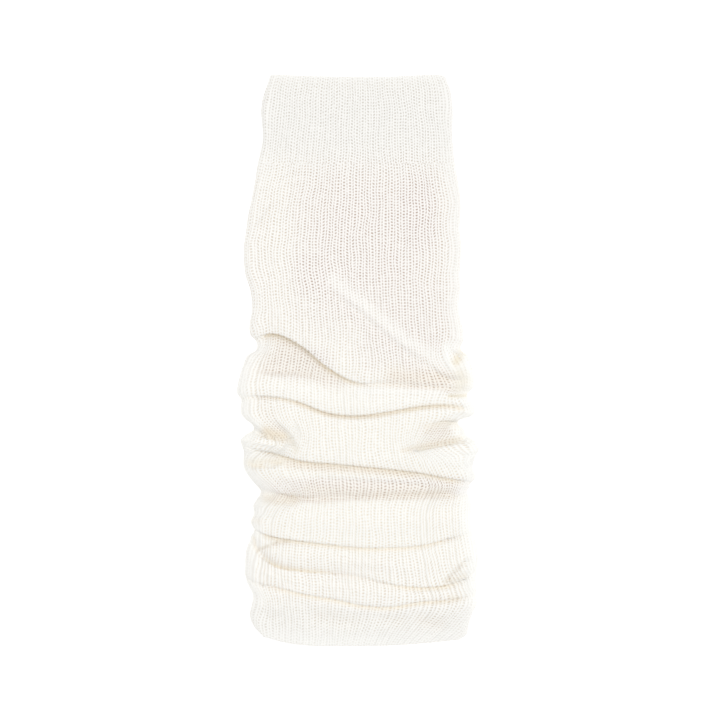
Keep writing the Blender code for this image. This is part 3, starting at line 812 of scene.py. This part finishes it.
# Soft patches of colour: where, how far they reach across and along, and how strongly
# each one turns the cloth thin or cool.
Patch = namedtuple("Patch", "x y across along thin cool", defaults=(0.0, 0.0))
PATCHES = (
    Patch(0, 175, 200, 34, cool=1),
    Patch(0, -190, 200, 16, cool=0.72),
    Patch(8, 85, 62, 70, thin=0.85),
    Patch(42, 105, 20, 38, thin=1),
    Patch(-30, 62, 20, 22, thin=0.9),
    Patch(35, 30, 40, 42, thin=0.8),
    Patch(-70, 70, 18, 80, thin=0.3),
    Patch(-10, -160, 70, 24, thin=0.2),
    # the recess, the cloth under the ridge's right end and the valley are thin, and their brown is
    # painted shade as well
    Patch(-40, -2, 22, 12, thin=0.8),
    Patch(50, -14, 22, 10, thin=0.9),
    Patch(10, -92, 75, 7, thin=1),
)

# The colours of the yarn, and of the holes between the stitches, in each tone of the knit.
Tone = namedtuple("Tone", "yarn hole")
PLAIN = Tone((0.945, 0.936, 0.90), (0.84, 0.765, 0.63))
# the yarn's colour where painted light pales it
LIT_YARN = (0.968, 0.966, 0.938)
# Thin cloth shows the brown of what is under it, and cool cloth is the welts' doubled knit.
# The rest are painted shade: on cloth that lies lower than the rolls, on cloth shut in
# under a lip, in a soft hollow, and, golden and warm, in a hollow where it stands in for
# light that comes through the knit round it. Each tone is laid over the ones before it.
TONES = {
    "thin": Tone((0.925, 0.898, 0.871), (0.51, 0.385, 0.32)),
    "cool": Tone((0.918, 0.907, 0.878), (0.695, 0.655, 0.59)),
    "sunk": Tone((0.915, 0.885, 0.835), (0.60, 0.485, 0.39)),
    "shut": Tone((0.965, 0.93, 0.845), (0.86, 0.75, 0.60)),
    "shaded": Tone((0.88, 0.805, 0.68), (0.66, 0.54, 0.395)),
    "golden": Tone((0.87, 0.805, 0.665), (0.72, 0.60, 0.44)),
}
# Where the tones set in, each as from and to in millimetres.
# painted shade on low cloth: how deep it has to lie, and how far in from the sides
RECESS_SHADE_DEPTH = (1.5, 4.5)  # how far the cloth has sunk
RECESS_SHADE_INSET = (8.0, 20.0)  # how far in from the sides it has to lie as well
ROLLED = (25.0, -5.0)  # y where the plain leg turns into rolls
SOLID_INSET = (14.0, 3.0)  # how far in from the sides the holes close up
# the rolls' right side is paled with painted light from this far in
RIGHT_LIGHT_INSET = (12.0, 1.0)  # how far in from the rolls' right side the yarn turns pale
# How far the holes close up at the sides: in the plain leg, and how much more in the rolls.
SOLID_LEFT = (0.3, 0.45)
SOLID_RIGHT = (0.7, 0.2)
COOL_OPEN = 0.5  # share by which they stay open in cool cloth
# how strong that painted light is on the rolls' right side
RIGHT_SIDE_LIGHT = 0.5  # how pale the yarn turns at that right side
# how much painted light a close-knit stroke lays on the yarn
CLOSE_KNIT_LIGHT = 0.6  # how pale a dense stroke makes it
DENSE_SOLID = 0.85  # and how far it closes the holes

# Soft strokes of colour along a line: how far they reach to its sides, and how strongly
# each one turns the cloth close-knit with painted light on its yarn, thin, or into painted
# shade, plain (shaded) or warm (golden).
Stroke = namedtuple("Stroke", "line reach dense thin shaded golden", defaults=(0.0,) * 4)
STROKES = (
    # the shoulder ridge's crest, close-knit with painted light, and the cloth under it, thin
    # and with painted shade
    Stroke(((-18, 58), (2, 41), (18, 28), (36, 13), (52, 5), (62, -4)), 5, dense=0.5),
    Stroke(((-20, 44), (-2, 30), (14, 14), (34, -2), (50, -10), (60, -15)), 6, thin=0.8),
    Stroke(((26, -12), (46, -13), (62, -14)), 6.5, thin=1, shaded=0.45),
    # the curl: its hollow in painted warm shade, its rim close-knit with painted light, and
    # the cloth under it, close-knit with painted light and painted warm shade
    Stroke(((77, 8), (73, 2.5)), 3, dense=1, golden=0.6),
    Stroke(((72.5, 2), (70.5, -1.5)), 3, dense=1, golden=1),
    Stroke(((64, 10), (64, 2), (66.5, -5), (71, -7.5), (77, -4), (80, 4)), 3.6, dense=1),
    Stroke(((73, -10), (76, -15), (73, -18)), 5, dense=1, golden=0.5),
    Stroke(((66, -26), (77, -25.5)), 1.5, dense=0.5, golden=0.8),
    # the first roll's close knit with painted light, most at its right end
    Stroke(((-60, -20), (-20, -25), (30, -28)), 7, dense=0.25),
    Stroke(((36, -28), (56, -30), (76, -33)), 7, dense=0.38),
    # painted shade in the deep crevices of the second roll's ledge and the first roll
    Stroke(((-62, -72), (-40, -74), (0, -76.5), (40, -80.5), (62, -84)), 1.8, shaded=0.25),
    Stroke(((-44, -31), (-30, -37.5), (-10, -41), (14, -40.5), (30, -37)), 1.6, shaded=0.45),
    Stroke(((34, -36.4), (46, -33.8), (58, -32.9), (68, -33.4), (74, -34.8)), 1.8,
           dense=0.3, shaded=0.45, golden=0.35),
    # painted shade in the second roll's left pit and in the gusset under its lobe, and the
    # patches at its right, with painted shade and, where close-knit, painted light
    Stroke(((-66, -51), (-60, -53.2), (-54, -55)), 3.6, dense=0.5, shaded=1),
    Stroke(((-49, -56), (-46, -61), (-44.5, -66)), 2.6, dense=0.5, golden=0.4),
    Stroke(((-78, -74), (-66, -73), (-54, -73.5)), 3, dense=0.9, shaded=0.1, golden=0.45),
    Stroke(((-76, -76.6), (-70, -76.6), (-63, -75.6), (-56, -73.6)), 1.4, dense=0.3, shaded=0.6),
    Stroke(((50, -50), (60, -49), (72, -47)), 4, thin=0.3, shaded=0.15),
    Stroke(((32, -65), (46, -61.5), (60, -58.5), (74, -56.5)), 1.8, dense=0.3, shaded=0.5),
    Stroke(((49, -48), (58, -46), (70, -44.5)), 2.2, dense=0.6, shaded=0.2, golden=0.25),
    Stroke(((54, -70), (66, -70), (78, -72)), 6, dense=0.6),
    # painted shadow on and under the ledge, and painted shade in the recess at the valley's
    # left end
    Stroke(((-50, -75.5), (-20, -78), (10, -80), (40, -82.5)), 2.6, thin=0.3, shaded=0.45),
    Stroke(((-36, -92), (0, -93), (40, -95), (66, -96)), 4.5, thin=0.6, shaded=0.25),
    Stroke(((-66, -99.5), (-56, -101), (-46, -101)), 3.4, thin=0.5, shaded=0.25, golden=0.3),
    # painted shade in the creases at the third roll's left end and the fourth roll's right end
    Stroke(((-75, -128), (-74.3, -133), (-72, -138)), 1.3, dense=0.3, shaded=0.55),
    Stroke(((-71, -136), (-64, -133.5), (-57, -130.5), (-50, -129.5)), 1.3, dense=0.3, shaded=0.6),
    Stroke(((-78, -114), (-71, -116)), 2.5, dense=0.3, shaded=0.25),
    Stroke(((62, -160), (70, -152), (76, -146)), 1.6, dense=0.3, shaded=0.35),
    Stroke(((60, -163), (70, -158.5), (77, -155)), 1.6, dense=0.3, shaded=0.3, golden=0.1),
    Stroke(((66, -170.5), (72, -171.5)), 1.8, dense=0.3, golden=0.4),
    # the bottom welt's close-knit edge, with painted light, and soft painted shade in its
    # valleys
    Stroke(((-64, -200), (-20, -203), (30, -203), (70, -199)), 8, dense=0.8),
    Stroke(((-26, -183), (-4, -188.5)), 6, shaded=0.07),
    Stroke(((20, -184), (30, -187)), 5, shaded=0.07),
    Stroke(((46, -188), (57, -191)), 5, shaded=0.08),
    # painted light on the close-knit right side of the rolls and the welts, and on the first
    # roll's upper lip
    Stroke(((70, -41), (74, -50), (72, -56)), 4, dense=0.8),
    Stroke(((84, -138), (86, -165), (81, -190), (76, -200)), 5, dense=0.8),
    Stroke(((66, 200), (70, 160), (73, 140)), 5, dense=0.6),
    Stroke(((0, -23), (30, -22.5), (60, -23)), 2.4, dense=0.7),
    # the top welt's turned edge, close-knit with painted light
    Stroke(((-64, 205.5), (0, 204.5), (62, 205.5)), 4, dense=0.8),
)


def patch_share(points, patch):
    """How strongly a patch colours each point, 0 to 1."""
    aside = np.abs(points[:, 0] - patch.x) / patch.across
    ahead = np.abs(points[:, 1] - patch.y) / patch.along
    return np.exp(-aside ** 4 - ahead ** 4)


def stroke_share(points, stroke):
    """How strongly a stroke colours each point, 0 to 1."""
    line = np.array(stroke.line, float)
    nearest = np.full(len(points), np.inf)
    for start, end in zip(line[:-1], line[1:]):
        span = end - start
        off = points[:, :2] - start
        share = np.clip(off @ span / (span @ span), 0.0, 1.0)
        nearest = np.minimum(nearest, np.linalg.norm(off - share[:, None] * span, axis=1))
    return np.exp(-(nearest / stroke.reach) ** 2)


def from_sides(points):
    """How far inside the outline's nearer side each point is."""
    x, y = points[..., 0], points[..., 1]
    return np.minimum(x - outline_at(y, "left"), outline_at(y, "right") - x)


def tones(points, depth, shut):
    """The yarn's and the holes' colours at each point, as two arrays of RGB.

    depth is how far the cloth lies under the outline's height, and shut how far it is in a
    crevice, 0 to 1: both give it painted shade. Close-knit cloth and the rolls' right side get
    painted light.
    """
    shares = dict.fromkeys(("dense", "thin", "cool", "shaded", "golden"), np.zeros(len(points)))
    marks = [(patch, patch_share(points, patch)) for patch in PATCHES]
    marks += [(stroke, stroke_share(points, stroke)) for stroke in STROKES]
    for mark, weight in marks:
        for name in shares:
            if name in mark._fields:
                shares[name] = np.maximum(shares[name], getattr(mark, name) * weight)
    dense = shares["dense"]
    inset = from_sides(points)
    # painted shade on cloth that lies low, away from the sides and out of the crevices
    sunk = smooth_step(depth, *RECESS_SHADE_DEPTH) * smooth_step(inset, *RECESS_SHADE_INSET) * (1.0 - shut)
    shares.update(thin=shares["thin"] * (1.0 - dense), sunk=sunk, shut=shut)
    rolled = smooth_step(points[:, 1], *ROLLED)
    on_left = np.where(points[:, 0] < 0.0, 1.0, 0.0)
    most = (on_left * (SOLID_LEFT[0] + SOLID_LEFT[1] * rolled)
            + (1.0 - on_left) * (SOLID_RIGHT[0] + SOLID_RIGHT[1] * rolled))
    solid = most * smooth_step(inset, *SOLID_INSET) * (1.0 - COOL_OPEN * shares["cool"])
    # painted light on the rolls' right side
    right_side_light = RIGHT_SIDE_LIGHT * (1.0 - on_left) * rolled * smooth_step(inset, *RIGHT_LIGHT_INSET)

    # the yarn paled by painted light, on close-knit cloth and on the rolls' right side
    pale = np.maximum(CLOSE_KNIT_LIGHT * dense, right_side_light)[:, None]
    yarn, hole = (np.array(colour) for colour in PLAIN)
    yarn = yarn + pale * (LIT_YARN - yarn)
    for name, tone in TONES.items():
        share = shares[name][:, None]
        yarn = yarn + share * (tone.yarn - yarn)
        hole = hole + share * (tone.hole - hole)
    solid = np.maximum(solid, DENSE_SOLID * dense)[:, None]
    return yarn, hole + solid * (yarn - hole)


def shell_faces(outer, inner, inner_columns):
    """The faces between two grids of vertex numbers, one inside the other.

    Both grids close on themselves across their columns, and a rim of faces joins them at
    each end. inner_columns are the outer grid's columns that the inner one has kept.
    """
    faces = []
    for grid, order in ((outer, (0, 1, 2, 3)), (inner, (0, 3, 2, 1))):
        right = np.roll(grid, -1, axis=1)
        corners = np.stack([grid[:-1], grid[1:], right[1:], right[:-1]], axis=-1)
        faces += corners.reshape(-1, 4)[:, order].tolist()
    width = outer.shape[1]
    ends = inner_columns[1:] + [width]
    for row, turn in ((0, 1), (-1, -1)):
        for k, (start, end) in enumerate(zip(inner_columns, ends)):
            edge = [outer[row, c % width] for c in range(start, end + 1)]
            far = [inner[row, (k + 1) % len(ends)], inner[row, k]]
            faces.append((edge + far)[::turn])
    return faces


def sharpen(mesh, rim):
    """Makes the edges between the given vertices sharp."""
    ends = np.empty(len(mesh.edges) * 2, np.int32)
    mesh.edges.foreach_get("vertices", ends)
    sharp = mesh.attributes.new("sharp_edge", "BOOLEAN", "EDGE")
    sharp.data.foreach_set("value", np.isin(ends, rim).reshape(-1, 2).all(axis=1))


def map_knit(mesh, wales, courses):
    """The knit's own coordinates: wales across, courses along.

    A face that closes the tube counts its wales on from the last, not back to the first.
    """
    corners = np.empty(len(mesh.loops), np.int32)
    mesh.loops.foreach_get("vertex_index", corners)
    starts, sizes = np.empty((2, len(mesh.polygons)), np.int32)
    mesh.polygons.foreach_get("loop_start", starts)
    mesh.polygons.foreach_get("loop_total", sizes)
    u = wales[corners]
    spans = np.maximum.reduceat(u, starts) - np.minimum.reduceat(u, starts)
    closing = np.repeat(spans > WALES / 2, sizes) & (u < WALES / 2)
    layer = mesh.uv_layers.new(name="knit")
    uv = np.column_stack([np.where(closing, u + WALES, u), courses[corners]])
    layer.data.foreach_set("uv", uv.reshape(-1))


def colour_layer(mesh, name, colours):
    """One colour for each vertex, as a layer that the material reads by its name."""
    layer = mesh.color_attributes.new(name, "FLOAT_COLOR", "POINT")
    opaque = np.column_stack([colours, np.ones(len(colours))])
    layer.data.foreach_set("color", opaque.reshape(-1))


def build_sheet(name, points, normals, depth, shut, columns, run, thickness, material):
    """A closed thin shell: the ribbed outside, and a plain inside a thickness under it.

    points, normals, depth, shut and run are grids, with a row for each step along the knit
    and a column for each of columns.
    """
    full = smooth_step(from_sides(points), *RELIEF_INSET)
    relief = (rib_height(columns) - 1.0) * RIB_DEPTH * (SIDE_RELIEF + (1.0 - SIDE_RELIEF) * full)
    outside = points + normals * relief[..., None]
    inside = points - normals * thickness

    rows = sorted({*range(0, len(run), INNER_SKIP), len(run) - 1})
    kept = list(range(0, len(columns), INNER_SKIP))
    picked = np.ix_(rows, kept)

    def for_vertices(outer, inner=None):
        """All of a grid's values, and then those picked of it, or of another, for the inside."""
        inner = (outer if inner is None else inner)[picked]
        return np.concatenate([grid.reshape(-1, *outer.shape[2:]) for grid in (outer, inner)])

    outer = np.arange(run.size).reshape(run.shape)
    inner = run.size + np.arange(len(rows) * len(kept)).reshape(len(rows), -1)
    vertices = for_vertices(outside, inside) * MM
    mesh = bpy.data.meshes.new(name)
    mesh.from_pydata(vertices, [], shell_faces(outer, inner, kept))
    mesh.shade_smooth()
    sharpen(mesh, np.concatenate([outer[0], outer[-1], inner[0], inner[-1]]))
    map_knit(mesh, for_vertices(np.broadcast_to(columns, run.shape)), for_vertices(run / COURSE))
    yarn, hole = tones(vertices / MM, for_vertices(depth), for_vertices(shut))
    colour_layer(mesh, "yarn_tone", yarn)
    colour_layer(mesh, "hole_tone", hole)
    mesh.materials.append(material)
    return add_object(name, mesh)


# ================================================================ the material and the stage
def add_object(name, data):
    """A new object in the scene."""
    made = bpy.data.objects.new(name, data)
    bpy.context.scene.collection.objects.link(made)
    return made


def set_inputs(node, values):
    """Gives a node's inputs their values by name."""
    for name, value in values.items():
        node.inputs[name].default_value = value


class Nodes:
    """A short way to lay and link a material's nodes."""

    def __init__(self, tree):
        self.tree = tree

    def put(self, value, socket):
        if hasattr(value, "links"):
            self.tree.links.new(value, socket)
        else:
            socket.default_value = value

    def node(self, kind, **inputs):
        made = self.tree.nodes.new(kind)
        for name, value in inputs.items():
            self.put(value, made.inputs[name.replace("_", " ")])
        return made

    def math(self, operation, *values):
        made = self.tree.nodes.new("ShaderNodeMath")
        made.operation = operation
        for value, socket in zip(values, made.inputs):
            self.put(value, socket)
        return made.outputs[0]

    def step(self, value, low, high, start=0.0, end=1.0):
        """A soft step from start at low to end at high."""
        made = self.tree.nodes.new("ShaderNodeMapRange")
        made.interpolation_type = "SMOOTHSTEP"
        for socket, number in zip(made.inputs, (value, low, high, start, end)):
            self.put(number, socket)
        return made.outputs[0]

    def attribute(self, name):
        made = self.tree.nodes.new("ShaderNodeAttribute")
        made.attribute_name = name
        return made.outputs["Color"]

    def mix(self, share, first, second):
        made = self.tree.nodes.new("ShaderNodeMix")
        made.data_type = "RGBA"
        for index, value in ((0, share), (6, first), (7, second)):
            self.put(value, made.inputs[index])
        return made.outputs[2]


def stitch_mask(nodes, wale, course):
    """How much yarn shows, 0 to 1, at a place in the rib: wales across, courses along.

    It also gives the beat of the stitches' legs, -1 to 1.
    """
    def drift(per_wale, per_course, most):
        """Soft noise with so many swells a wale and a course, of at most half of most."""
        place = nodes.node("ShaderNodeCombineXYZ", X=nodes.math("MULTIPLY", wale, per_wale),
                           Y=nodes.math("MULTIPLY", course, per_course))
        noise = nodes.node("ShaderNodeTexNoise", Vector=place.outputs[0], Scale=1.0, Detail=1.0)
        return nodes.math("MULTIPLY", nodes.math("SUBTRACT", noise.outputs[0], 0.5), most)

    # No two stitches are quite alike: the holes' strength and both their places drift.
    strength = nodes.math("ADD", 1.0, drift(per_wale=1.3, per_course=0.5, most=1.6))
    course = nodes.math("ADD", course, drift(per_wale=0.9, per_course=0.05, most=3.0))
    wale = nodes.math("ADD", wale, drift(per_wale=0.4, per_course=0.16, most=0.4))
    part = nodes.math("FRACT", wale)
    from_middle = nodes.math("ABSOLUTE", nodes.math("SUBTRACT", part, 0.5))
    # A stitch's two legs slant, and its holes come half a course after the purl column's.
    slant = nodes.math("ADD", nodes.math("MULTIPLY", from_middle, 0.9), 0.45)
    slanted = nodes.math("ADD", course, slant)
    beat = nodes.math("COSINE", nodes.math("MULTIPLY", course, 2.0 * math.pi))
    leg_beat = nodes.math("COSINE", nodes.math("MULTIPLY", slanted, 2.0 * math.pi))

    purl = nodes.step(from_middle, low=0.30, high=0.42)
    purl_beat = nodes.step(beat, low=-0.4, high=0.8, end=0.95)
    purl_hole = nodes.math("MULTIPLY", purl, purl_beat)
    groove = nodes.step(from_middle, low=0.03, high=0.14, start=1.0, end=0.0)
    groove_beat = nodes.step(leg_beat, low=-1.0, high=0.7, start=0.1, end=0.8)
    groove_hole = nodes.math("MULTIPLY", groove, groove_beat)
    hole = nodes.math("MULTIPLY", nodes.math("MAXIMUM", purl_hole, groove_hole), strength)
    yarn = nodes.math("SUBTRACT", 1.0, hole)
    return nodes.math("MAXIMUM", yarn, 0.0), leg_beat


def make_material():
    """The rib knit: its stitches, in the tones that each piece carries, and their relief."""
    material = bpy.data.materials.new("rib_knit")
    material.use_nodes = True
    tree = material.node_tree
    nodes = Nodes(tree)
    shader = tree.nodes["Principled BSDF"]
    place = nodes.node("ShaderNodeUVMap")
    place.uv_map = "knit"
    parts = nodes.node("ShaderNodeSeparateXYZ", Vector=place.outputs[0])
    yarn, leg_beat = stitch_mask(nodes, parts.outputs[0], parts.outputs[1])
    # the tones carry the knit's own colours with painted shade and painted light laid over them
    colour = nodes.mix(yarn, nodes.attribute("hole_tone"), nodes.attribute("yarn_tone"))
    tree.links.new(colour, shader.inputs["Base Color"])
    # The yarn stands over its holes, and swells a little along each stitch's legs.
    height = nodes.math("ADD", yarn, nodes.math("MULTIPLY", leg_beat, 0.08))
    bump = nodes.node("ShaderNodeBump", Height=height, Distance=0.0006, Strength=0.6)
    tree.links.new(bump.outputs[0], shader.inputs["Normal"])
    set_inputs(shader, {"Roughness": 0.95, "Specular IOR Level": 0.2,
                        "Sheen Weight": 0.15, "Sheen Roughness": 0.6})
    return material


def make_camera():
    """The photograph's camera: straight above, and far enough for hardly any perspective."""
    distance = 3.0  # metres over the rolls, where the frame is frame_width wide
    frame_width = 0.5184
    middle = (0.00144, 0.0, 0.012)
    data = bpy.data.cameras.new("camera")
    camera = add_object("camera", data)
    data.sensor_width = 36.0
    data.lens = data.sensor_width * distance / frame_width
    camera.location = (middle[0], middle[1], distance + middle[2])
    data.clip_end = 20.0
    bpy.context.scene.camera = camera


def make_light():
    """An even white studio, with one broad soft light a little to the side."""
    scene = bpy.context.scene
    scene.world = bpy.data.worlds.new("studio")
    scene.world.use_nodes = True
    set_inputs(scene.world.node_tree.nodes["Background"],
               {"Color": (1.0, 1.0, 1.0, 1.0), "Strength": 0.84})
    key = bpy.data.lights.new("key", "SUN")
    key.energy = 0.8
    key.angle = math.radians(40.0)
    lamp = add_object("key", key)
    lamp.rotation_euler = (math.radians(-14.0), math.radians(16.0), 0.0)
    scene.view_settings.view_transform = "Standard"
    # Light goes on a long way among folds as white as these.
    scene.cycles.max_bounces = 16
    scene.cycles.diffuse_bounces = 16


def make_floor():
    """A pale floor that gives off a little light, so that it renders near white."""
    mesh = bpy.data.meshes.new("floor")
    mesh.from_pydata([(-3, -3, 0), (3, -3, 0), (3, 3, 0), (-3, 3, 0)], [], [(0, 1, 2, 3)])
    floor = add_object("floor", mesh)
    floor.location = (0.0, 0.0, -0.5 * MM)  # clear of the underside
    material = bpy.data.materials.new("floor")
    material.use_nodes = True
    set_inputs(material.node_tree.nodes["Principled BSDF"],
               {"Base Color": (0.8, 0.8, 0.8, 1.0), "Roughness": 0.9,
                "Emission Color": (1.0, 1.0, 1.0, 1.0), "Emission Strength": 0.4})
    mesh.materials.append(material)


# ================================================================ the leg warmer
# What stands for each CAD node: its rings, how thick its cloth is in all and in one
# layer, and its pieces from the top down. Each piece has its name, its length along the
# knit in metres, and how it is held.
PARTS = (
    ("top_welt", top_welt, WELT, WELT_LAYER, [("rib_top_welt", 0.130, "laid")]),
    ("leg_tube", leg, WALL, WALL, [("rib_leg_upper", 0.137, "laid"),
                                   ("rib_leg_middle", 0.120, "folded"),
                                   ("rib_leg_lower", 0.126, "folded")]),
    ("bottom_welt", bottom_welt, WELT, WELT_LAYER, [("rib_bottom_welt", 0.086, "laid")]),
)


def main():
    """Builds the five pieces of knit and the stage."""
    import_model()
    section = ring_section()
    material = make_material()
    for node, rings_of, thickness, layer, cloths in PARTS:
        rows = spread(section, *smooth_rows(*placed(section, rings_of, thickness)))
        woven, shut, columns, run = lay_wales(rows, section)
        normals = grid_normals(woven)
        depth = np.maximum(outline_at(woven[..., 1], "height") - woven[..., 2], 0.0)
        cuts = np.linspace(0, len(woven) - 1, len(cloths) + 1).round().astype(int)
        made = []
        for (name, length, held), start, end in zip(cloths, cuts[:-1], cuts[1:]):
            part = slice(start, end + 1)
            piece = build_sheet(name, woven[part], normals[part], depth[part], shut[part],
                                columns, run[part], layer, material)
            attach(piece, "root")
            made.append(piece)
        for piece in made:
            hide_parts(node)
    make_floor()
    make_light()
    make_camera()


main()
